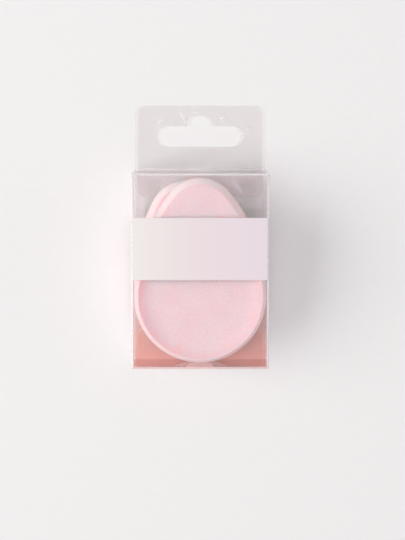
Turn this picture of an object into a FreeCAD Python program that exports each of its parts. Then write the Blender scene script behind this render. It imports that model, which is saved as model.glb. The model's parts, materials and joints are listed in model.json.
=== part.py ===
import FreeCAD, Part
import math
import os

# A pack of two flat makeup sponges in a clear folding carton with a hang tab.
# Millimetres. The pack lies on its back: X across, Y towards the hang tab, Z out of the front panel.
# The origin is the middle of the back's outer face.

V = FreeCAD.Vector

# Sponges: flat eggs with bevelled edges and a shallow round bowl in the wide end
sponge_width = 50.0
sponge_length = 70.2
sponge_thickness = 9.5
tip_radius = 14.2
bevel_height = 2.2
wide_bevel = 1.3
tip_bevel = 2.4
bowl_rim = 0.2
bowl_slope_width = 6.4
bowl_depth = 1.5

# The rear sponge has slid towards the base and leans to the left, each by a share of the play there
drop_share = 0.84
shift_share = 0.43
lean_share = 0.63

# Room that the carton leaves around the sponges
side_play = 0.7
end_play = 1.25
front_play = 0.99
sponge_gap = 0.3
tuck_gap = 1.15

# Clear sheet, its long folds, its glued seam and the clearance where one panel turns on another
sheet = 0.3
bend_inner = 0.3
raw_edge = 0.5
fold_gap = 0.05
glue_thickness = 0.06
glue_width = 6.0
glue_inset = 4.0

# Hang tab: two layers cut alike, glued a little out of line, with a euro slot
tab_side_inset = 1.5
tab_corner = 3.0
tab_top_margin = 3.8
tab_misfit = 1.3
slot_rise = 8.85
slot_length = 32.0
slot_height = 8.0
bump_radius = 4.5
bump_rise = 4.15
slot_fillet = 1.0

# Lid and base with their tuck flaps
closure_side_inset = 0.3
tuck_side_inset = 1.75
tuck_corner = 3.0
lid_tuck_length = 10.0
base_tuck_length = 11.5

# Dust flaps under the lid and the base
dust_gap_front = 10.3
dust_gap_rear = 8.2
dust_front_clear = 0.6
dust_front_drop = 3.0
dust_rear_clear = 0.7
dust_front_corner = 1.2
dust_rear_corner = 4.0

# White printed band across the front
ink = 0.06
band_margin = 0.05
band_top_drop = 16.7
band_height = 23.5

overrun = 1.0

# Depths, from the back's outer face to the front
back_low = sheet + glue_thickness
back_high = back_low + sheet
tuck_low = back_high + tuck_gap
tuck_high = tuck_low + sheet
rear_sponge_low = tuck_high + sponge_gap
front_sponge_low = rear_sponge_low + sponge_thickness + sponge_gap
front_low = front_sponge_low + sponge_thickness + front_play
carton_depth = front_low + sheet
front_middle = (front_low + carton_depth) / 2

# Half sizes across and along, and the lines that the flaps turn on
half_width = sponge_width / 2 + side_play + sheet
dust_fold_y = sponge_length / 2 + end_play + sheet / 2
closure_low = dust_fold_y + sheet / 2 + fold_gap
half_height = closure_low + sheet
closure_fold_y = (closure_low + half_height) / 2
dust_fold_x = half_width - sheet / 2
bend_outer = bend_inner + sheet
flat_half_width = half_width - bend_outer
hinge_reach = sheet / 2 + fold_gap

# Sponge outline: a wide arc, two side arcs tangent to it at its widest, and a tip arc
wide_radius = sponge_width / 2
tip_rise = sponge_length - wide_radius - tip_radius
pivot_y = wide_radius - sponge_length / 2


def flank_radius(wide, tip):
    """The radius of the long arc that meets a wide arc at its widest and a tip arc at tip_rise."""
    return (wide**2 + tip_rise**2 - tip**2) / (2 * (wide - tip))


rear_x = shift_share * side_play
rear_y = pivot_y - drop_share * end_play
flank_offset = flank_radius(wide_radius, tip_radius) - wide_radius
rear_lean = math.degrees(math.acos(1 - lean_share * (side_play + rear_x) / flank_offset))


def line(a, b):
    return Part.LineSegment(a, b).toShape()


def arc(a, b, c):
    return Part.Arc(a, b, c).toShape()


def halfway(centre, radius, a, b):
    """The middle of the short arc about centre from a to b."""
    return centre + ((a - centre) + (b - centre)).normalize() * radius


def prism(edges, sweep):
    return Part.Face(Part.Wire(edges)).extrude(sweep)


def block(x, y, z):
    """A block between two places on each axis."""
    return Part.makeBox(x[1] - x[0], y[1] - y[0], z[1] - z[0], V(x[0], y[0], z[0]))


def nosed_sheet(half_length, middle, sweep, place):
    """A sheet whose two ends are half-round noses about the fold lines at plus and minus half_length."""
    r = sheet / 2
    low, high = middle - r, middle + r
    start, end = sweep

    def at(along, across):
        return place(along, across, start)

    edges = [
        line(at(-half_length, low), at(half_length, low)),
        arc(at(half_length, low), at(half_length + r, middle), at(half_length, high)),
        line(at(half_length, high), at(-half_length, high)),
        arc(at(-half_length, high), at(-half_length - r, middle), at(-half_length, low)),
    ]
    return prism(edges, place(0, 0, end) - place(0, 0, start))


def front_panel():
    """The front, with the creases of the lid and the base as its two noses."""

    def place(along, across, sweep):
        return V(sweep, along, across)

    return nosed_sheet(closure_fold_y, front_middle, (-flat_half_width, flat_half_width), place)


def long_fold(side, z, turn):
    """A quarter bend along Y about the line at z, on the side's outer corner. turn is 1 at the front."""
    centre = V(side * flat_half_width, -dust_fold_y, z)
    across, up = V(side, 0, 0), V(0, 0, turn)
    outer = [centre + across * bend_outer, centre + up * bend_outer]
    inner = [centre + up * bend_inner, centre + across * bend_inner]
    edges = [
        arc(outer[0], halfway(centre, bend_outer, *outer), outer[1]),
        line(outer[1], inner[0]),
        arc(inner[0], halfway(centre, bend_inner, *inner), inner[1]),
        line(inner[1], outer[0]),
    ]
    return prism(edges, V(0, 2 * dust_fold_y, 0))


def side_panel(side, rear):
    """A side with its two long folds. rear is the outer face of the back layer that it bends into."""
    low, high = rear + bend_outer, carton_depth - bend_outer

    def place(along, across, sweep):
        return V(across, along, sweep)

    flat = nosed_sheet(dust_fold_y, side * dust_fold_x, (low, high), place)
    return flat.fuse([long_fold(side, high, 1), long_fold(side, low, -1)]).removeSplitter()


def back_panel():
    x = (-half_width + sheet + raw_edge, flat_half_width)
    return block(x, (-closure_low, half_height), (back_low, back_high))


def outer_back_panel():
    x = (-flat_half_width, half_width - raw_edge)
    return block(x, (-closure_low, half_height), (0, sheet))


def euro_slot(z):
    """The cutter for the slot: a long hole with round ends and a round bump in the middle of its top."""
    r = slot_height / 2
    low = half_height + slot_rise
    high = low + slot_height
    end_x = slot_length / 2 - r
    bump = V(0, high + bump_rise - bump_radius, z)
    fillet_y = high + slot_fillet
    fillet_x = math.sqrt((bump_radius + slot_fillet) ** 2 - (fillet_y - bump.y) ** 2)

    def blend(side):
        fillet = V(side * fillet_x, fillet_y, z)
        on_slot = V(side * fillet_x, high, z)
        on_bump = bump + (fillet - bump).normalize() * bump_radius
        return on_slot, halfway(fillet, slot_fillet, on_slot, on_bump), on_bump

    right, left = blend(1), blend(-1)
    edges = [
        line(V(-end_x, low, z), V(end_x, low, z)),
        arc(V(end_x, low, z), V(end_x + r, low + r, z), V(end_x, high, z)),
        line(V(end_x, high, z), right[0]),
        arc(*right),
        arc(right[2], bump + V(0, bump_radius, 0), left[2]),
        arc(*reversed(left)),
        line(left[0], V(-end_x, high, z)),
        arc(V(-end_x, high, z), V(-end_x - r, low + r, z), V(-end_x, low, z)),
    ]
    return prism(edges, V(0, 0, sheet + 2 * overrun))


def hang_tab(shift, z):
    """One layer of the hang tab, moved sideways by shift, with its lower face at z."""
    reach = half_width - tab_side_inset
    top = half_height + slot_rise + slot_height + bump_rise + tab_top_margin
    tab = block((-reach, reach), (half_height, top), (z, z + sheet))
    corners = [e for e in tab.Edges if e.Length < 2 * sheet and e.CenterOfMass.y > (half_height + top) / 2]
    tab = tab.makeFillet(tab_corner, corners).cut(euro_slot(z - overrun))
    tab.translate(V(shift, 0, 0))
    return tab


def closure(end):
    """The lid (end 1) or the base (end -1), with the rounded fold that its tuck flap turns on."""
    x = -half_width + closure_side_inset
    fold = V(x, end * closure_low, tuck_high)
    outer, inner = V(x, end * half_height, tuck_high), V(x, end * closure_low, tuck_low)
    near = front_middle - hinge_reach
    edges = [
        line(V(x, end * half_height, near), outer),
        arc(outer, halfway(fold, sheet, outer, inner), inner),
        line(inner, V(x, end * closure_low, near)),
        line(V(x, end * closure_low, near), V(x, end * half_height, near)),
    ]
    return prism(edges, V(-2 * x, 0, 0))


def tuck_flap(end, length):
    """The flap on the closure's rear fold, tucked in along the back, with round free corners."""
    reach = half_width - tuck_side_inset
    y = sorted((end * (closure_low - fold_gap), end * (closure_low - length)))
    flap = block((-reach, reach), y, (tuck_low, tuck_high))
    free = [e for e in flap.Edges if e.Length < 2 * sheet and abs(e.CenterOfMass.y) < closure_low - length / 2]
    return flap.makeFillet(tuck_corner, free)


def dust_flap(side, end):
    """A flap on a side panel's end fold, under the lid or the base. It narrows towards its free end."""
    x_hinge = side * (dust_fold_x - hinge_reach)
    x_front, x_rear = side * dust_gap_front / 2, side * dust_gap_rear / 2
    y = end * dust_fold_y - sheet / 2
    z_front, z_rear = front_low - dust_front_clear, tuck_high + dust_rear_clear
    free_front = V(x_front, y, z_front - dust_front_drop)
    free_rear = V(x_rear, y, z_rear)
    points = [V(x_hinge, y, z_rear), V(x_hinge, y, z_front), free_front, free_rear]
    edges = [line(a, b) for a, b in zip(points, points[1:] + points[:1])]
    flap = prism(edges, V(0, sheet, 0))
    for corner, radius in ((free_front, dust_front_corner), (free_rear, dust_rear_corner)):
        middle = corner + V(0, sheet / 2, 0)
        flap = flap.makeFillet(radius, [min(flap.Edges, key=lambda e: e.CenterOfMass.distanceToPoint(middle))])
    return flap


def glue_lines():
    """The two lines of adhesive between the layers of the back."""
    y = (-closure_low + glue_inset, half_height - glue_inset)
    z = (sheet, back_low)
    inner, outer = flat_half_width - glue_inset - glue_width, flat_half_width - glue_inset
    return Part.makeCompound([block(x, y, z) for x in ((-outer, -inner), (inner, outer))])


def printed_band():
    reach = flat_half_width - band_margin
    top = half_height - band_top_drop
    return block((-reach, reach), (top - band_height, top), (carton_depth, carton_depth + ink))


def egg(wide_inset, tip_inset, z):
    """The sponge's outline about the centre of its wide end, drawn in by one inset there and another at the tip."""
    wide, tip = wide_radius - wide_inset, tip_radius - tip_inset
    side = flank_radius(wide, tip)
    tip_centre = V(0, tip_rise, z)
    apex = tip_centre + V(0, tip, 0)
    slant = math.sqrt(0.5) * wide

    def flank(sign):
        centre = V(-sign * (side - wide), 0, z)
        widest = V(sign * wide, 0, z)
        tangent = tip_centre + (tip_centre - centre).normalize() * tip
        return widest, halfway(centre, side, widest, tangent), tangent

    right, left = flank(1), flank(-1)
    bottom = V(0, -wide, z)
    edges = [
        arc(*right),
        arc(right[2], apex, left[2]),
        arc(*reversed(left)),
        arc(left[0], V(-slant, -slant, z), bottom),
        arc(bottom, V(slant, -slant, z), right[0]),
    ]
    return Part.Wire(edges)


def bowl(z):
    """The cutter for the bowl: a round floor whose edge curves up to the rim at z."""
    rim = wide_radius - wide_bevel - bowl_rim
    floor = V(rim - bowl_slope_width, 0, z - bowl_depth)
    crest = V(rim, 0, z)
    curve = (bowl_slope_width**2 + bowl_depth**2) / (2 * bowl_depth)
    centre = floor + V(0, 0, curve)
    middle, above = V(0, 0, z - bowl_depth), V(0, 0, z + overrun)
    edges = [
        line(middle, floor),
        arc(floor, halfway(centre, curve, floor, crest), crest),
        line(crest, crest + V(0, 0, overrun)),
        line(crest + V(0, 0, overrun), above),
        line(above, middle),
    ]
    return Part.Face(Part.Wire(edges)).revolve(V(0, 0, 0), V(0, 0, 1), 360)


def sponge(place, lean):
    """A sponge with its bowl towards the front, the centre of its wide end at place, turned by lean degrees."""
    top = sponge_thickness
    small, full = (wide_bevel, tip_bevel), (0, 0)
    rings = [egg(*small, 0), egg(*full, bevel_height), egg(*full, top - bevel_height), egg(*small, top)]
    body = Part.makeLoft(rings, True, True).cut(bowl(top))
    body.rotate(V(0, 0, 0), V(0, 0, 1), lean)
    body.translate(place)
    return body


pieces = {
    "front_panel": front_panel(),
    "left_side_panel": side_panel(-1, 0),
    "right_side_panel": side_panel(1, back_low),
    "back_panel": back_panel(),
    "outer_back_panel": outer_back_panel(),
    "hang_tab_front_layer": hang_tab(tab_misfit / 2, back_low),
    "hang_tab_rear_layer": hang_tab(-tab_misfit / 2, 0),
    "lid_panel": closure(1),
    "lid_tuck_flap": tuck_flap(1, lid_tuck_length),
    "base_panel": closure(-1),
    "base_tuck_flap": tuck_flap(-1, base_tuck_length),
    "top_left_dust_flap": dust_flap(-1, 1),
    "top_right_dust_flap": dust_flap(1, 1),
    "base_left_dust_flap": dust_flap(-1, -1),
    "base_right_dust_flap": dust_flap(1, -1),
    "glue_lines": glue_lines(),
    "printed_band": printed_band(),
    "front_sponge": sponge(V(0, pivot_y, front_sponge_low), 0),
    "rear_sponge": sponge(V(rear_x, rear_y, rear_sponge_low), rear_lean),
}

os.makedirs("parts", exist_ok=True)
for name, shape in pieces.items():
    shape.exportStep(f"parts/{name}.step")
    print(f"{name}: {len(shape.Solids)} solid, {shape.Volume:.1f} mm3, valid {shape.isValid()}")

print(f"carton {2 * half_width:.2f} x {2 * half_height:.2f} x {carton_depth:.2f} mm")
print(f"lid fold y {closure_fold_y:.3f} z {front_middle:.3f}, tuck fold y {closure_low:.3f} z {tuck_high:.3f}")
print(f"dust fold x {dust_fold_x:.3f} y {dust_fold_y:.3f}, sponge pivot y {pivot_y:.3f}")
print(f"rear sponge pivot {rear_x:.3f} {rear_y:.3f}, lean {rear_lean:.2f}")
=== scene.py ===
# %% [markdown]
# A pack of two flat foam sponges in a clear folding carton with a hang tab.
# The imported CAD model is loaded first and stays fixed. It already holds every panel, flap and
# crease of the carton at its true place, in metres, so the lesson is about two things: shaping
# the soft sponges as meshes, and giving clear sheet, foam and ink their own surfaces.

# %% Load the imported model
import json
import math

import bpy
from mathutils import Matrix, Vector


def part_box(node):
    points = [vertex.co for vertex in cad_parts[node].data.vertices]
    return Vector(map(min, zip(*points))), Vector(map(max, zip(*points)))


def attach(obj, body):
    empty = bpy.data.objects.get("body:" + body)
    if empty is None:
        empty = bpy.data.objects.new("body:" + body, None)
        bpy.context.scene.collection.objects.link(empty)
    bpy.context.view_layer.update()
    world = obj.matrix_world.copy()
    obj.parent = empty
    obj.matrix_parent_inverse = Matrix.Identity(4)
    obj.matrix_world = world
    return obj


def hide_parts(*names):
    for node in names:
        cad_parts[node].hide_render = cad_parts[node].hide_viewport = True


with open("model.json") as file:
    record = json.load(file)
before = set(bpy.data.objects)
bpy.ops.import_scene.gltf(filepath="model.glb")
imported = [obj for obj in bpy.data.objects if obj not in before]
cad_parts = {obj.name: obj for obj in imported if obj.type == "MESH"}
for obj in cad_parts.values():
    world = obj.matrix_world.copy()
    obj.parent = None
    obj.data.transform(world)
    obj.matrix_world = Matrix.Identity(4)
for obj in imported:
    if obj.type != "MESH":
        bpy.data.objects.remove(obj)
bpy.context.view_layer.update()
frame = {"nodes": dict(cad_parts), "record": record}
nodes = frame["nodes"]
scene = bpy.context.scene
MM = 0.001


def in_mm(lengths):
    """Lengths in millimetres, rounded for printing."""
    return [round(length / MM, 2) for length in lengths]


# %% [markdown]
# The photograph was taken from above, with the camera a little towards the hang tab, so that the
# lid's edge just shows. A camera could be placed by eye and nudged. Here its tilt, distance and
# lens were worked out from the carton's own corners, so the pack fills the frame as it should.

# %% The camera
TILT = math.radians(6.23)
DISTANCE = 702 * MM
LENS = 124.4
AIM = Vector((0.90 * MM, 0.66 * MM, 23.0 * MM))
CLIP_START = 10 * MM

camera = bpy.data.objects.new("camera", bpy.data.cameras.new("camera"))
scene.collection.objects.link(camera)
camera.data.lens = LENS
camera.data.clip_start = CLIP_START
camera.location = AIM + DISTANCE * Vector((0, math.sin(TILT), math.cos(TILT)))
camera.rotation_euler = (-TILT, 0, 0)
scene.camera = camera
print("camera at", in_mm(camera.location), "mm")

# %% [markdown]
# A flat sponge is cut from a foam sheet with an egg-shaped die. The outline could be a circle
# pulled longer at one side, but a die maker draws it with arcs that meet smoothly: a wide round
# end, two long flanks and a small round tip. So one vertex is spun about the centre of each arc
# in turn, which draws exactly that. A tiny plane merged to its centre gives the first vertex.

# %% An egg from five arcs
WIDE_RADIUS = 25.0 * MM
TIP_RADIUS = 14.2 * MM
TIP_RISE = 31.0 * MM
WIDE_CENTRE = Vector((0, -10.1 * MM, 0))
ARC_STEPS = (48, 40, 28, 40, 48)
SPECK = 1 * MM


def lift(point, height):
    """The point at this height above the table."""
    return Vector((point.x, point.y, height))


def draw_egg(wide, tip, height):
    """In edit mode, draws an egg with these radii at this height and leaves it selected."""
    offset = (TIP_RISE**2 - (wide - tip) ** 2) / (2 * (wide - tip))
    sweep = math.atan2(TIP_RISE, offset)
    side = Vector((offset, 0, 0))
    tip_centre = WIDE_CENTRE + Vector((0, TIP_RISE, 0))
    centres = (WIDE_CENTRE, WIDE_CENTRE - side, tip_centre, WIDE_CENTRE + side, WIDE_CENTRE)
    angles = (math.pi / 2, sweep, math.pi - 2 * sweep, sweep, math.pi / 2)
    start = lift(WIDE_CENTRE - Vector((0, wide, 0)), height)
    bpy.ops.mesh.select_all(action="DESELECT")
    bpy.ops.mesh.primitive_plane_add(size=SPECK, location=start)
    bpy.ops.mesh.merge(type="CENTER")
    for centre, angle, steps in zip(centres, angles, ARC_STEPS):
        bpy.ops.mesh.spin(steps=steps, angle=-angle, center=lift(centre, height), axis=(0, 0, 1))


print("one egg has", sum(ARC_STEPS), "steps")

# %% [markdown]
# The die leaves both rims slanted. The slab could be extruded and its edges bevelled, but a bevel
# has one width, and this slant is narrow at the wide end and broad at the tip. So the egg is drawn
# four times, one above another: small, full, full and small.

# %% Four outlines, one above another
FRONT_LOW = 12.21 * MM
THICKNESS = 9.5 * MM
SLANT_HEIGHT = 2.2 * MM
WIDE_SLANT = 1.3 * MM
TIP_SLANT = 2.4 * MM
MERGE = 0.01 * MM

top = FRONT_LOW + THICKNESS
RINGS = (
    # height, inset at the wide end and inset at the tip
    (FRONT_LOW, WIDE_SLANT, TIP_SLANT),
    (FRONT_LOW + SLANT_HEIGHT, 0, 0),
    (top - SLANT_HEIGHT, 0, 0),
    (top, WIDE_SLANT, TIP_SLANT),
)
bpy.ops.object.select_all(action="DESELECT")
bpy.ops.mesh.primitive_plane_add(size=SPECK)
sponge = bpy.context.object
sponge.name = sponge.data.name = "front_foam_sponge"
bpy.ops.object.mode_set(mode="EDIT")
bpy.ops.mesh.delete(type="VERT")
for height, wide_inset, tip_inset in RINGS:
    draw_egg(WIDE_RADIUS - wide_inset, TIP_RADIUS - tip_inset, height)
bpy.ops.mesh.select_all(action="SELECT")
bpy.ops.mesh.remove_doubles(threshold=MERGE)
bpy.ops.object.mode_set(mode="OBJECT")
print("outlines:", len(sponge.data.vertices), "points,", in_mm(sponge.dimensions), "mm")

# %% [markdown]
# The rings have as many points each, in the same order, so bridging each to the next makes the
# slanted lower rim, the upright side and the slanted upper rim in one go. The two open rings that
# are left are then filled, which closes the slab.

# %% Bridge the rings and close both faces
bpy.ops.object.mode_set(mode="EDIT")
bpy.ops.mesh.select_mode(type="EDGE")
bpy.ops.mesh.select_all(action="SELECT")
bpy.ops.mesh.bridge_edge_loops()
bpy.ops.mesh.select_all(action="SELECT")
bpy.ops.mesh.region_to_loop()
bpy.ops.mesh.edge_face_add()
bpy.ops.mesh.select_all(action="SELECT")
bpy.ops.mesh.normals_make_consistent(inside=False)
bpy.ops.object.mode_set(mode="OBJECT")
print("slab:", len(sponge.data.polygons), "faces,", in_mm(sponge.dimensions), "mm")

# %% [markdown]
# The wide end has a shallow round bowl with a narrow crest round it. It could be inset from the
# face, but the bowl is a circle and the face is an egg. So a round stamp is made: its curved side
# is an arc spun from one point, and that profile is spun once round the middle of the wide end.

# %% A round stamp for the bowl
CREST_WIDTH = 0.2 * MM
BOWL_SLOPE = 6.4 * MM
BOWL_DEPTH = 1.5 * MM
OVERRUN = 1.0 * MM
SLOPE_STEPS = 12
ROUND_STEPS = 160
STAMP_MERGE = 0.005 * MM

crest_radius = WIDE_RADIUS - WIDE_SLANT - CREST_WIDTH
curve = (BOWL_SLOPE**2 + BOWL_DEPTH**2) / (2 * BOWL_DEPTH)
slope_angle = math.asin(BOWL_SLOPE / curve)
floor_edge = lift(WIDE_CENTRE, top - BOWL_DEPTH) + Vector((crest_radius - BOWL_SLOPE, 0, 0))
slope_centre = floor_edge + Vector((0, 0, curve))
bpy.ops.object.select_all(action="DESELECT")
bpy.ops.mesh.primitive_plane_add(size=SPECK)
stamp = bpy.context.object
bpy.ops.object.mode_set(mode="EDIT")
bpy.ops.mesh.select_mode(type="VERT")
bpy.ops.mesh.select_all(action="SELECT")
bpy.ops.mesh.merge(type="CENTER")
bpy.ops.transform.translate(value=floor_edge)
bpy.ops.mesh.spin(steps=SLOPE_STEPS, angle=slope_angle, center=slope_centre, axis=(0, 1, 0))
bpy.ops.mesh.extrude_vertices_move(TRANSFORM_OT_translate={"value": (0, 0, OVERRUN)})
bpy.ops.mesh.select_all(action="SELECT")
bpy.ops.mesh.spin(steps=ROUND_STEPS, angle=math.tau, center=WIDE_CENTRE, axis=(0, 0, 1))
bpy.ops.mesh.select_all(action="SELECT")
bpy.ops.mesh.remove_doubles(threshold=STAMP_MERGE)
bpy.ops.mesh.region_to_loop()
bpy.ops.mesh.edge_face_add()
bpy.ops.mesh.select_all(action="SELECT")
bpy.ops.mesh.normals_make_consistent(inside=False)
bpy.ops.object.mode_set(mode="OBJECT")
print("stamp:", in_mm(stamp.dimensions), "mm")

# %% [markdown]
# A heated stamp presses such a bowl into the foam. Moving the face's own points down would need
# points where the bowl is, and a flat filled face has none. A Boolean modifier subtracts the stamp
# instead and cuts the bowl's edge cleanly. It is applied, and the stamp is thrown away.

# %% Press the bowl into the wide end
def apply(piece, kind, **settings):
    """Adds a modifier, sets it and applies it."""
    bpy.ops.object.select_all(action="DESELECT")
    piece.select_set(True)
    bpy.context.view_layer.objects.active = piece
    made = piece.modifiers.new(kind.lower(), kind)
    for name, value in settings.items():
        setattr(made, name, value)
    bpy.ops.object.modifier_apply(modifier=made.name)


apply(sponge, "BOOLEAN", operation="DIFFERENCE", object=stamp, solver="EXACT")
bpy.data.objects.remove(stamp)
print("bowl pressed,", len(sponge.data.polygons), "faces")

# %% [markdown]
# Foam has no hard edges and no large flat faces. The mesh is rebuilt in small even squares, which
# rounds every edge by about their size, smoothed a little, and then pushed in and out by a few
# hundredths of a millimetre, as foam skin is. Cloth with pressure would round the slants away.

# %% Turn the slab into foam
VOXEL = 0.36 * MM
SKIN_LUMP = 1.6 * MM
SKIN_RELIEF = 0.05 * MM

skin = bpy.data.textures.new("foam_skin", "CLOUDS")
skin.noise_scale = SKIN_LUMP
skin.noise_depth = 2
apply(sponge, "REMESH", mode="VOXEL", voxel_size=VOXEL)
apply(sponge, "SMOOTH", factor=0.5, iterations=3)
apply(sponge, "DISPLACE", texture=skin, texture_coords="LOCAL", strength=SKIN_RELIEF, mid_level=0.5)
bpy.ops.object.shade_smooth()
print("foam:", len(sponge.data.polygons), "faces,", in_mm(sponge.dimensions), "mm")

# %% [markdown]
# The second sponge is the same cutting. It could be built again from the start, but a copy with its
# own mesh is exact and quick. It is lowered behind the first and turned about the centre of its
# wide end until its tip leans to the left, all in edit mode, so that the object stays at the origin.

# %% The rear sponge
REAR_MOVE = Vector((0.301, -1.05, -9.8)) * MM
LEAN = math.radians(10.31)

rear = sponge.copy()
rear.data = sponge.data.copy()
rear.name = rear.data.name = "rear_foam_sponge"
scene.collection.objects.link(rear)
bpy.ops.object.select_all(action="DESELECT")
rear.select_set(True)
bpy.context.view_layer.objects.active = rear
bpy.ops.object.mode_set(mode="EDIT")
bpy.ops.mesh.select_all(action="SELECT")
bpy.ops.transform.translate(value=REAR_MOVE)
bpy.ops.transform.rotate(value=-LEAN, orient_axis="Z", center_override=WIDE_CENTRE + REAR_MOVE)
bpy.ops.object.mode_set(mode="OBJECT")
print("rear sponge leans by", round(math.degrees(LEAN), 2), "degrees")

# %% [markdown]
# Each foam mesh now takes the place of its plain CAD sponge and moves with that sponge's body. It
# is soft and filled right through. Each tip is printed next to the CAD's box, to see that they
# agree.

# %% Put the sponges on their bodies
for piece, body in ((sponge, "front_sponge"), (rear, "rear_sponge")):
    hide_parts(body)
    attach(piece, body)
    low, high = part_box(body)
    tip = max((vertex.co for vertex in piece.data.vertices), key=lambda point: point.y)
    print(piece.name, "tip", in_mm(tip), "CAD box from", in_mm(low), "to", in_mm(high), "mm")

# %% [markdown]
# The shapes are done and the surfaces follow. Small helpers serve them all. One turns a colour
# written as sRGB hex into the linear numbers that shaders use. Another adds a shader node, sets it
# and links it, so that a material below reads as a list of what it is made of.

# %% Helpers for colours and nodes
def colour(code):
    """A linear colour with alpha from sRGB hex such as F4F1F2."""
    parts = [int(code[i : i + 2], 16) / 255 for i in (0, 2, 4)]
    return (*[c / 12.92 if c <= 0.04045 else ((c + 0.055) / 1.055) ** 2.4 for c in parts], 1.0)


def add(tree, kind, inputs=None, **settings):
    """Adds a node. inputs maps a socket's name or number to a value or to another node's output."""
    made = tree.nodes.new("ShaderNode" + kind)
    for name, value in settings.items():
        setattr(made, name, value)
    for name, value in (inputs or {}).items():
        if isinstance(value, bpy.types.NodeSocket):
            tree.links.new(value, made.inputs[name])
        else:
            made.inputs[name].default_value = value
    return made


def empty_material(name):
    """A node material with nothing in it yet."""
    material = bpy.data.materials.new(name)
    material.use_nodes = True
    material.node_tree.nodes.clear()
    return material, material.node_tree


def dress(piece, material):
    """Gives a piece this one material."""
    piece.data.materials.clear()
    piece.data.materials.append(material)


print("pale grey is", [round(c, 3) for c in colour("F4F1F2")])

# %% [markdown]
# The sponges are fine-pored latex foam in pale pink. One flat colour would look like plastic. Two
# noises give the grain: one the size of the pores, and a wide one that clouds the pink a little.
# Real pores are about a quarter of a millimetre, too fine for this picture, so they are drawn at
# 0.7 mm.

# %% The foam's grain
PORE = 0.7 * MM
CLOUD = 9 * MM
PORE_SHARE = 0.75
CLOUD_SHARE = 0.25
GRAIN = ((0.3, "F4D2D8"), (0.7, "FCE5E9"))

# Latex foam, whipped and moulded: a dead matt, finely speckled pink that light sinks into.
foam, tree = empty_material("pink_latex_foam")
place = add(tree, "TexCoord").outputs["Object"]
pores = add(tree, "TexNoise", {"Vector": place, "Scale": 1 / PORE, "Detail": 3.0, "Roughness": 0.6})
pore = pores.outputs["Fac"]
cloud = add(tree, "TexNoise", {"Vector": place, "Scale": 1 / CLOUD, "Detail": 2.0}).outputs["Fac"]
speckle = add(tree, "Math", {0: pore, 1: PORE_SHARE}, operation="MULTIPLY").outputs[0]
mottle = {0: cloud, 1: CLOUD_SHARE, 2: speckle}
shade = add(tree, "Math", mottle, operation="MULTIPLY_ADD").outputs[0]
pinks = add(tree, "ValToRGB", {"Fac": shade})
for stop, (position, code) in zip(pinks.color_ramp.elements, GRAIN):
    stop.position = position
    stop.color = colour(code)
print("pores drawn at", in_mm([PORE]), "mm")

# %% [markdown]
# The slants take the light differently from the face, and their colour is painted to match. The broad
# slant round the tip gets a paler painted highlight. The narrow slant of the wide end and the edge of
# the bowl get a pinker painted shade. These could be painted on as a vertex colour. Here each is found
# by how far its normal leans, because each has a slope of its own.

# %% Painted highlight and painted shade on the slants
FACE = "EFC4CB"
SLANT_LIGHT_AND_SHADE = (
    # the upright part of the normal, the colour there and its share
    (0.3, FACE, 0.0),
    # the pinker stops are painted shade and the paler stops are a painted highlight
    (0.5, FACE, 0.5),  # narrow slant of the wide end
    (0.74, "FEF0ED", 0.5),  # broad slant of the tip, from here
    (0.83, "FEF0ED", 0.5),  # to here
    (0.9, "EEC0C8", 0.5),  # edge of the bowl
    (0.985, FACE, 0.0),  # flat faces
)

upright = add(tree, "SeparateXYZ", {0: add(tree, "TexCoord").outputs["Normal"]}).outputs["Z"]
slant_light_and_shade = add(tree, "ValToRGB", {"Fac": upright})
for position, code, share in SLANT_LIGHT_AND_SHADE:
    stop = slant_light_and_shade.color_ramp.elements.new(position)
    stop.color = (*colour(code)[:3], share)
for end in (slant_light_and_shade.color_ramp.elements[0], slant_light_and_shade.color_ramp.elements[-1]):
    end.color = (*colour(FACE)[:3], 0.0)
painted_on_grain = {
    "Factor": slant_light_and_shade.outputs["Alpha"],
    "A": pinks.outputs["Color"],
    "B": slant_light_and_shade.outputs["Color"],
}
grain_and_painted_light = add(tree, "Mix", painted_on_grain, data_type="RGBA").outputs["Result"]
print(len(slant_light_and_shade.color_ramp.elements), "stops from upright to level")

# %% [markdown]
# Light goes a few millimetres into foam, red farthest, before it comes back, which softens every
# shadow and warms it. Subsurface scattering gives that. A little sheen stands for the fine fuzz that
# lightens the edges, and the pores make a slight relief.

# %% Soft foam surface
PORE_RELIEF = 0.08 * MM
LIGHT_DEPTH = 3.2 * MM

relief = add(tree, "Bump", {"Height": pore, "Strength": 0.5, "Distance": PORE_RELIEF})
surface = add(
    tree,
    "BsdfPrincipled",
    {
        "Base Color": grain_and_painted_light,
        "Roughness": 0.9,
        "Specular IOR Level": 0.2,
        "Subsurface Weight": 1.0,
        "Subsurface Radius": (1.0, 0.16, 0.16),
        "Subsurface Scale": LIGHT_DEPTH,
        "Sheen Weight": 0.25,
        "Sheen Roughness": 0.5,
        "Sheen Tint": colour("FFF6EA"),
        "Normal": relief.outputs["Normal"],
    },
)
add(tree, "OutputMaterial", {"Surface": surface.outputs[0]})
for piece in (sponge, rear):
    dress(piece, foam)
print("foam on both sponges")

# %% [markdown]
# The carton is one sheet of clear PET, cut, creased and folded. PET turns white where it is bent.
# White lines could be modelled as thin strips on every panel. Here the shader finds them: a point
# lies on a fold when it is close to two of the box's sides at once, so of its three distances to
# the sides the middle one counts. The creases at the back stay clearer than those in front.

# %% White and painted highlight along the folds
# the carton's box, and the distances over which the whiteness changes, all in millimetres
HALF_BOX = (26.0, 37.0, 11.5)
BOX_MIDDLE = (0.0, 0.0, 11.5)
FOLD_FADE = (0.4, 1.1)
END_FADE = (0.6, 2.0)
REAR_FADE = (1.0, 6.0)
# what is left of the whiteness at the back, and how far noise makes it uneven
REAR_WHITE = 0.2
NOISE_SHARE = 0.5
NOISE_BASE = 0.65


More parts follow.
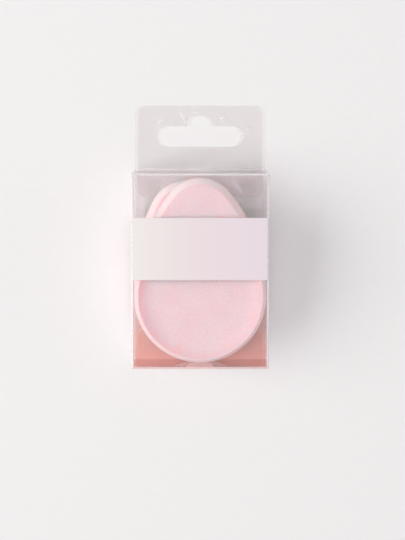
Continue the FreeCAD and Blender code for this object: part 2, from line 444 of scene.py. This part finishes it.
def fold_white_and_highlight(tree, spot_mm, noise, long_folds, end_folds):
    """How white the folds are, real whitening and painted highlight together, from 0 to 1, for these
    strengths of the long and the end folds.
    """
    centred = add(tree, "VectorMath", {0: spot_mm, 1: BOX_MIDDLE}, operation="SUBTRACT").outputs[0]
    reach = add(tree, "VectorMath", {0: centred}, operation="ABSOLUTE").outputs[0]
    short = add(tree, "VectorMath", {0: HALF_BOX, 1: reach}, operation="SUBTRACT").outputs[0]
    to_walls = add(tree, "VectorMath", {0: short}, operation="ABSOLUTE").outputs[0]
    to_side, to_end, to_face = add(tree, "SeparateXYZ", {0: to_walls}).outputs
    nearer = add(tree, "Math", {0: to_side, 1: to_end}, operation="MINIMUM").outputs[0]
    farther = add(tree, "Math", {0: to_side, 1: to_end}, operation="MAXIMUM").outputs[0]
    second = add(tree, "Math", {0: farther, 1: to_face}, operation="MINIMUM").outputs[0]
    middle = add(tree, "Math", {0: nearer, 1: second}, operation="MAXIMUM").outputs[0]
    line = {"Value": middle, "From Min": FOLD_FADE[0], "From Max": FOLD_FADE[1]}
    line |= {"To Min": 1.0, "To Max": 0.0}
    white = add(tree, "MapRange", line, interpolation_type="SMOOTHSTEP").outputs[0]
    ends = {"Value": to_end, "From Min": END_FADE[0], "From Max": END_FADE[1]}
    ends |= {"To Min": end_folds, "To Max": long_folds}
    strength = add(tree, "MapRange", ends).outputs[0]
    height = add(tree, "SeparateXYZ", {0: spot_mm}).outputs["Z"]
    rear_creases = {"Value": height, "From Min": REAR_FADE[0], "From Max": REAR_FADE[1]}
    rear_creases |= {"To Min": REAR_WHITE}
    front = add(tree, "MapRange", rear_creases).outputs[0]
    blotches = {0: noise, 1: NOISE_SHARE, 2: NOISE_BASE}
    uneven = add(tree, "Math", blotches, operation="MULTIPLY_ADD").outputs[0]
    for share in (strength, uneven, front):
        white = add(tree, "Math", {0: white, 1: share}, operation="MULTIPLY").outputs[0]
    return white


print("side folds", HALF_BOX[0], "mm and end folds", HALF_BOX[1], "mm from the middle")

# %% [markdown]
# A cut edge of PET catches the light as a thin bright line, and here that line is a painted highlight.
# Its faces could be selected and given a second material, but they are thin and the CAD's mesh stays as
# it is. The Bevel node gives the normal that a rounded edge would have, and where that turns away from
# the face's own normal, the edge is near.

# %% Painted highlight at the cut edges
EDGE_WIDTH = 0.26 * MM
EDGE_HIGHLIGHT = 0.4
# how far the two normals agree, from the edge itself to the flat face
EDGE_TURN = (0.75, 0.99)


def painted_edge_highlight(tree):
    """How bright the painted highlight on the cut edges is, from 0 to 1."""
    rounded = add(tree, "Bevel", {"Radius": EDGE_WIDTH}, samples=6).outputs["Normal"]
    flat = add(tree, "NewGeometry").outputs["True Normal"]
    agree = add(tree, "VectorMath", {0: rounded, 1: flat}, operation="DOT_PRODUCT").outputs["Value"]
    edge = {"Value": agree, "From Min": EDGE_TURN[0], "From Max": EDGE_TURN[1]}
    edge |= {"To Min": EDGE_HIGHLIGHT, "To Max": 0.0}
    return add(tree, "MapRange", edge).outputs[0]


# the width of the painted highlight along the cut edges
print("cut edges whiten over", in_mm([EDGE_WIDTH]), "mm")

# %% [markdown]
# A few white marks on the tab and near the lid are partly whitening where the sheet was kinked in
# handling and partly painted highlights, and two faint diagonals in the top of the carton are painted
# reflections.
# Noise would scatter marks everywhere. These few are listed: each is a round soft spot that a Mapping
# node stretches from one end to the other.

# %% White marks, painted highlights and painted reflections
MARKS_AND_PAINTED_LIGHT = (
    # from x, y to x, y, half width, all in mm, and strength
    (-15.2, 57.0, -16.4, 53.7, 0.5, 0.5),
    (-8.2, 60.2, -5.4, 54.9, 0.4, 0.45),
    (-2.2, 59.4, -1.6, 59.4, 0.5, 0.5),
    (-4.6, 54.9, -2.9, 57.4, 0.45, 0.4),
    (7.9, 56.8, 8.7, 57.2, 0.8, 0.4),
    (15.9, 50.4, 16.7, 51.2, 0.6, 0.6),
    (17.1, 52.0, 19.1, 53.3, 0.4, 0.3),
    (18.7, 40.1, 19.5, 38.0, 0.4, 0.3),
    (-21.0, 37.6, -14.5, 37.6, 0.35, 0.3),
    # these two diagonals are painted reflections, not marks
    (-11.2, 34.9, -17.7, 27.6, 0.8, 0.1),
    (11.2, 34.9, 17.7, 27.6, 0.8, 0.1),
)
# half a mark's depth in mm, far more than the sheet is thick
MARK_REACH = 100
# where a mark begins to fade and where it ends, as shares of its half length and half width
MARK_FADE = (0.25, 1.0)


def marks_and_painted_light(tree, spot_mm):
    """How white the marks, painted highlights and painted reflections are, from 0 to 1."""
    white = 0.0
    for x0, y0, x1, y1, width, strength in MARKS_AND_PAINTED_LIGHT:
        length = math.dist((x0, y0), (x1, y1)) / 2 + width
        stretch = {
            "Vector": spot_mm,
            "Location": ((x0 + x1) / 2, (y0 + y1) / 2, 0),
            "Rotation": (0, 0, math.atan2(y1 - y0, x1 - x0)),
            "Scale": (length, width, MARK_REACH),
        }
        local = add(tree, "Mapping", stretch, vector_type="TEXTURE").outputs[0]
        away = add(tree, "VectorMath", {0: local}, operation="LENGTH").outputs["Value"]
        fade = {"Value": away, "From Min": MARK_FADE[0], "From Max": MARK_FADE[1]}
        fade |= {"To Min": strength, "To Max": 0.0}
        mark = add(tree, "MapRange", fade, interpolation_type="SMOOTHSTEP").outputs[0]
        white = add(tree, "Math", {0: white, 1: mark}, operation="MAXIMUM").outputs[0]
    return white


print(len(MARKS_AND_PAINTED_LIGHT), "handling marks")

# %% [markdown]
# Towards its foot the carton takes on the pink of the sponges, a painted reflection, strongest on the
# sides and the base, while the front stays clear. A gradient along the carton would tint the front too.
# So the gradient counts only behind the front panel and past the base's fold.

# %% Where the pink reflection is painted
FOOT_FADE = (2 * MM, -34 * MM)
BEHIND_FRONT = (22.6 * MM, 18 * MM)
BASE_FOLD = (-35.8 * MM, -36.6 * MM)


def pink_reflection_share(tree, place):
    """Share of the painted pink reflection: from 0 above the middle to 1 at the foot, but 0 on the
    front panel.
    """
    _, along, height = add(tree, "SeparateXYZ", {0: place}).outputs
    low, deep, end = (
        add(tree, "MapRange", {"Value": value, "From Min": start, "From Max": stop}).outputs[0]
        for value, (start, stop) in ((along, FOOT_FADE), (height, BEHIND_FRONT), (along, BASE_FOLD))
    )
    inside = add(tree, "Math", {0: deep, 1: end}, operation="MAXIMUM").outputs[0]
    return add(tree, "Math", {0: low, 1: inside}, operation="MULTIPLY").outputs[0]


print("tint from y", in_mm(FOOT_FADE), "mm")

# %% [markdown]
# Clear PET is glass to the eye: it mirrors a little, bends light at its edges and shows what is
# behind it. The Glass shader tints its mirror as well as what is seen through it, which matters on
# the side panels, because the camera sees them almost edge on. A faint waviness and a fine haze
# keep the reflections from being perfect. The haze is drawn coarser than it is, so that it shows.

# %% The clear body of the sheet
PET_IOR = 1.575
RIPPLE = 14 * MM
RIPPLE_RELIEF = 0.15 * MM
HAZE = 1.2 * MM
HAZE_RANGE = (0.35, 0.75)
ROUGHNESS = (0.015, 0.05)


def clear_body(tree, place, haze, seen):
    """Clear glossy sheet that tints what it shows by the colour seen."""
    ripple = add(tree, "TexNoise", {"Vector": place, "Scale": 1 / RIPPLE, "Detail": 1.0})
    swell = {"Height": ripple.outputs["Fac"], "Strength": 0.25, "Distance": RIPPLE_RELIEF}
    wave = add(tree, "Bump", swell).outputs["Normal"]
    dulling = {"Value": haze, "From Min": HAZE_RANGE[0], "From Max": HAZE_RANGE[1]}
    dulling |= {"To Min": ROUGHNESS[0], "To Max": ROUGHNESS[1]}
    rough = add(tree, "MapRange", dulling).outputs[0]
    clear = {"Color": seen, "Roughness": rough, "IOR": PET_IOR, "Normal": wave}
    return add(tree, "BsdfGlass", clear).outputs[0]


print("PET has an IOR of", PET_IOR)

# %% [markdown]
# Where the sheet is white, partly real whitening and partly painted highlight, it is no longer glass
# but a pale satin solid, thin enough for some light to come through from behind. The same solid, in a
# tone and in a small share, paints the pink reflection of the sponges at the foot and the mauve shade
# on the lid's tuck flap. White marks stay white there, so the tone comes in only where the sheet is not
# white already.

# %% The milky body of the sheet
WHITE_AND_HIGHLIGHT = "FAF5F9"
FROM_BEHIND = 0.25


def milky_body(tree, white, painted_here, painted_tone):
    """Pale satin solid: white where the sheet was bent or a highlight is painted, and the painted tone
    where light or shade is painted on the sheet.
    """
    warm = add(tree, "Math", {0: painted_here, 1: white}, operation="SUBTRACT", use_clamp=True).outputs[0]
    tones = {"Factor": warm, "A": colour(WHITE_AND_HIGHLIGHT), "B": colour(painted_tone)}
    tone = add(tree, "Mix", tones, data_type="RGBA").outputs["Result"]
    lit = add(tree, "BsdfPrincipled", {"Base Color": tone, "Roughness": 0.4}).outputs[0]
    glow = add(tree, "BsdfTranslucent", {"Color": tone}).outputs[0]
    return add(tree, "MixShader", {0: FROM_BEHIND, 1: lit, 2: glow}).outputs[0]


print("share of the light that comes through the white:", FROM_BEHIND)

# %% [markdown]
# Light from the lamps passes a clear sheet, but Cycles would treat a glass sheet as a solid that
# blocks it. So shadow rays meet a plain transparent surface. Rays scattered by the foam and the
# table meet the same, with a soft mirror mixed in, which throws a little light back.

# %% Light through the sheet
OPEN = colour("FFFFFF")
THROWN_BACK = 0.1


def light_through(tree, sheet):
    """Lets light from lamps, and light scattered by other things, pass the sheet."""
    path = add(tree, "LightPath").outputs
    through = add(tree, "BsdfTransparent", {"Color": OPEN}).outputs[0]
    mirror = add(tree, "BsdfGlossy", {"Color": OPEN, "Roughness": 0.2}).outputs[0]
    bounced = add(tree, "MixShader", {0: THROWN_BACK, 1: through, 2: mirror}).outputs[0]
    scattered = add(tree, "MixShader", {0: path["Is Diffuse Ray"], 1: sheet, 2: bounced}).outputs[0]
    return add(tree, "MixShader", {0: path["Is Shadow Ray"], 1: scattered, 2: through}).outputs[0]


print("lamps shine through the sheet")

# %% [markdown]
# The pieces of the last cells make up one sheet. Most of the carton is the clear one, with the pink of
# the sponges painted on its foot as a reflection. The base's tuck flap, folded up behind the sponges,
# gets that painted pink reflection all over, and the lid's tuck flap a faint mauve painted shade. Each
# could copy the material and change it. One function with the colours as its arguments keeps the three
# alike.

# %% Clear sheet, with painted pink reflection and painted shade
def clear_sheet(name, tint, painted_tone, painted_tone_share, folds, pink_reflection=None):
    """Creased PET sheet. tint colours what is seen through it. The fourth argument is the painted tone,
    light or shade painted on the sheet, and the fifth is its share. folds are the strengths of the long
    and the end folds. With the last argument, the painted pink reflection of the sponges, the painted
    tone stays at the foot, and that pink is the tint there."""
    material, tree = empty_material(name)
    place = add(tree, "TexCoord").outputs["Object"]
    spot_mm = add(tree, "VectorMath", {0: place, "Scale": 1 / MM}, operation="SCALE").outputs[0]
    haze = add(tree, "TexNoise", {"Vector": place, "Scale": 1 / HAZE, "Detail": 2.0}).outputs["Fac"]
    painted_here, seen = 1.0, colour(tint)
    if pink_reflection:
        painted_here = pink_reflection_share(tree, place)
        tints = {"Factor": painted_here, "A": colour(tint), "B": colour(pink_reflection)}
        seen = add(tree, "Mix", tints, data_type="RGBA").outputs["Result"]
        painted_tone_share = add(tree, "Math", {0: painted_here, 1: painted_tone_share}, operation="MULTIPLY").outputs[0]
    white = fold_white_and_highlight(tree, spot_mm, haze, *folds)
    for other in (painted_edge_highlight(tree), marks_and_painted_light(tree, spot_mm)):
        white = add(tree, "Math", {0: white, 1: other}, operation="MAXIMUM").outputs[0]
    clear = clear_body(tree, place, haze, seen)
    milky = milky_body(tree, white, painted_here, painted_tone)
    share = add(tree, "Math", {0: white, 1: painted_tone_share}, operation="MAXIMUM").outputs[0]
    sheet = add(tree, "MixShader", {0: share, 1: clear, 2: milky}).outputs[0]
    add(tree, "OutputMaterial", {"Surface": light_through(tree, sheet)})
    return material


# PET sheet, rolled smooth: colourless and glossy, white at its folds, partly as painted highlight, with
# a painted pink reflection of the sponges towards the foot.
pet = clear_sheet("clear_pet_sheet", "FDFCFC", "FFD3CD", 0.1, (0.8, 0.55), pink_reflection="FDECE9")
# The same sheet with the painted pink reflection of the sponges all over: warm and a little milky, with
# fainter folds.
pink_reflection_sheet = clear_sheet("pet_sheet_with_painted_pink_reflection", "FFF0ED", "FFCFC8", 0.22, (0.3, 0.26))
# The same sheet with painted shade: cool, greyer and a little milky all over.
painted_shade_sheet = clear_sheet("pet_sheet_with_painted_shade", "FEFBFC", "EADDE3", 0.16, (0.4, 0.3))
PAINTED_SHEETS = {"base_tuck_flap": pink_reflection_sheet, "lid_tuck_flap": painted_shade_sheet}
SHEETS = [n["node"] for n in frame["record"]["subparts"] if n["material_slot"] == "clear_pet"]
for name in SHEETS:
    dress(nodes[name], PAINTED_SHEETS.get(name, pet))
print("clear sheet on", len(SHEETS), "panels and flaps")

# %% [markdown]
# The two back layers are stuck together by clear lines of adhesive. Glass would give them a mirror
# of their own, but they fill the gap and have none. So they are a see-through film with a trace of
# streaky haze.

# %% Clear adhesive
STREAK = 2 * MM
STREAK_HAZE = 0.012

# Clear adhesive, dried in lines: all but unseen, with a faint warm haze.
glue, tree = empty_material("clear_dried_adhesive")
place = add(tree, "TexCoord").outputs["Object"]
streaks = add(tree, "TexNoise", {"Vector": place, "Scale": 1 / STREAK, "Detail": 2.0}).outputs["Fac"]
share = add(tree, "MapRange", {"Value": streaks, "To Min": 0.0, "To Max": STREAK_HAZE}).outputs[0]
open_film = add(tree, "BsdfTransparent", {"Color": colour("FEFEFD")}).outputs[0]
film = add(tree, "BsdfPrincipled", {"Base Color": colour("F4F1EC"), "Roughness": 0.3}).outputs[0]
both = add(tree, "MixShader", {0: share, 1: open_film, 2: film}).outputs[0]
add(tree, "OutputMaterial", {"Surface": both})
dress(nodes["glue_lines"], glue)
print("adhesive on", nodes["glue_lines"].name)

# %% [markdown]
# A ray of light passes only a few see-through surfaces before Cycles gives it up as dark, and a
# carton has many layers. The setting could be raised, but the picture's settings stay as they are.
# The layers that lie behind others are left out of shadows and scattered light instead.

# %% Layers that light skips
HIDDEN_LAYERS = ("glue_lines", "outer_back_panel", "lid_tuck_flap", "base_tuck_flap")

for name in HIDDEN_LAYERS:
    nodes[name].visible_shadow = False
    nodes[name].visible_diffuse = False
print("light skips", len(HIDDEN_LAYERS), "layers")

# %% [markdown]
# The band across the front is white screen ink, a few hundredths of a millimetre thick. Ink dries
# satin, with the faint unevenness of the mesh it was pushed through. The real mesh is finer and is
# drawn at half a millimetre. A ramp across the band greys the white to lilac on the right, as painted
# shade where less light falls.

# %% White screen ink with painted shade
MESH_PITCH = 0.5 * MM
INK_RELIEF = 0.02 * MM
BAND_HALF = 25 * MM

# Screen ink, printed on the sheet: an even satin white, with painted shade turning it lilac towards the
# right.
ink, tree = empty_material("satin_white_screen_ink")
place = add(tree, "TexCoord").outputs["Object"]
weave = add(tree, "TexNoise", {"Vector": place, "Scale": 1 / MESH_PITCH, "Detail": 2.0}).outputs["Fac"]
side = add(tree, "SeparateXYZ", {0: place}).outputs["X"]
across = add(tree, "MapRange", {"Value": side, "From Min": -BAND_HALF, "From Max": BAND_HALF})
ink_and_painted_shade = add(tree, "ValToRGB", {"Fac": across.outputs[0]})
ink_and_painted_shade.color_ramp.elements[0].color = colour("F0EBE9")
ink_and_painted_shade.color_ramp.elements[1].color = colour("E8DBE4")
ink_and_painted_shade.color_ramp.elements.new(0.45).color = colour("ECDFE2")
satin = {
    "Base Color": ink_and_painted_shade.outputs["Color"],
    "Roughness": add(tree, "MapRange", {"Value": weave, "To Min": 0.35, "To Max": 0.5}).outputs[0],
    "Normal": add(tree, "Bump", {"Height": weave, "Strength": 0.15, "Distance": INK_RELIEF}).outputs[0],
}
add(tree, "OutputMaterial", {"Surface": add(tree, "BsdfPrincipled", satin).outputs[0]})
dress(nodes["printed_band"], ink)
print("ink on", nodes["printed_band"].name)

# %% [markdown]
# The pack lies on a pale matt table top, which is no part of it. One large plane serves, a hair
# below the pack, so that the two never share a surface. Its paint has a grain too faint to see as
# such, which keeps a large pale area from looking dead.

# %% The table top
TABLE_SIZE = 6.0
TABLE_DROP = 0.05 * MM
PAINT_GRAIN = 3 * MM

bpy.ops.object.select_all(action="DESELECT")
bpy.ops.mesh.primitive_plane_add(size=TABLE_SIZE, location=(0, 0, -TABLE_DROP))
table = bpy.context.object
table.name = "table_top"
# Matt paint, rolled on: an even pale grey with hardly any gloss.
paint, tree = empty_material("pale_matt_paint")
place = add(tree, "TexCoord").outputs["Object"]
grain = add(tree, "TexNoise", {"Vector": place, "Scale": 1 / PAINT_GRAIN, "Detail": 3.0})
greys = add(tree, "ValToRGB", {"Fac": grain.outputs["Fac"]})
greys.color_ramp.elements[0].color = colour("F0EEEF")
greys.color_ramp.elements[1].color = colour("F3F1F2")
matt = {"Base Color": greys.outputs["Color"], "Roughness": 0.8, "Specular IOR Level": 0.2}
add(tree, "OutputMaterial", {"Surface": add(tree, "BsdfPrincipled", matt).outputs[0]})
dress(table, paint)
print("table top of", TABLE_SIZE, "m")

# %% [markdown]
# A wide window of soft light stands on the left, so that the shadow falls to the right. A soft
# ceiling lights the pack from above and a weak card on the right fills the shadow, which stays even
# and light. The ceiling and the card are kept out of the sheet's mirror, as a photographer would
# turn the pack until their glare is gone.

# %% Soft lamps
def soft_lamp(name, place, width, height, power, tint):
    """A rectangular lamp that points at the pack, in metres and watts."""
    data = bpy.data.lights.new(name, "AREA")
    data.shape = "RECTANGLE"
    data.size = width
    data.size_y = height
    data.energy = power
    data.color = colour(tint)[:3]
    lamp = bpy.data.objects.new(name, data)
    lamp.location = place
    lamp.rotation_euler = (-lamp.location).to_track_quat("-Z", "Y").to_euler()
    scene.collection.objects.link(lamp)
    return lamp


soft_lamp("soft_window", (-2.04, 0.0, 1.26), width=2.0, height=1.7, power=43.0, tint="FFFEFA")
ceiling = soft_lamp("soft_ceiling", (0.15, 0.25, 1.9), width=1.2, height=1.2, power=12.5, tint="FFFEFE")
card = soft_lamp("fill_card", (2.0, 0.0, 0.45), width=1.4, height=0.7, power=4.5, tint="FFFEFE")
for lamp in (ceiling, card):
    lamp.visible_glossy = False
    lamp.visible_transmission = False
print("three soft lamps")

# %% [markdown]
# The room round the pack is pale. Its light on the pack is weak, so that the lamps give the shape,
# but a clear sheet mirrors the room and shows it, and there it should look as pale as it is. So the
# room is brighter for mirrored and refracted rays only.

# %% The pale room
ROOM_LIGHT = 0.34
ROOM_SEEN = 0.62

room = bpy.data.worlds.new("pale_room")
room.use_nodes = True
tree = room.node_tree
tree.nodes.clear()
path = add(tree, "LightPath").outputs
rays = {0: path["Is Glossy Ray"], 1: path["Is Transmission Ray"]}
seen = add(tree, "Math", rays, operation="MAXIMUM").outputs[0]
strength = add(tree, "MapRange", {"Value": seen, "To Min": ROOM_LIGHT, "To Max": ROOM_SEEN}).outputs[0]
light = add(tree, "Background", {"Color": colour("FEFDFF"), "Strength": strength}).outputs[0]
add(tree, "OutputWorld", {"Surface": light})
scene.world = room
scene.view_settings.view_transform = "Standard"
print("room set, view transform", scene.view_settings.view_transform)
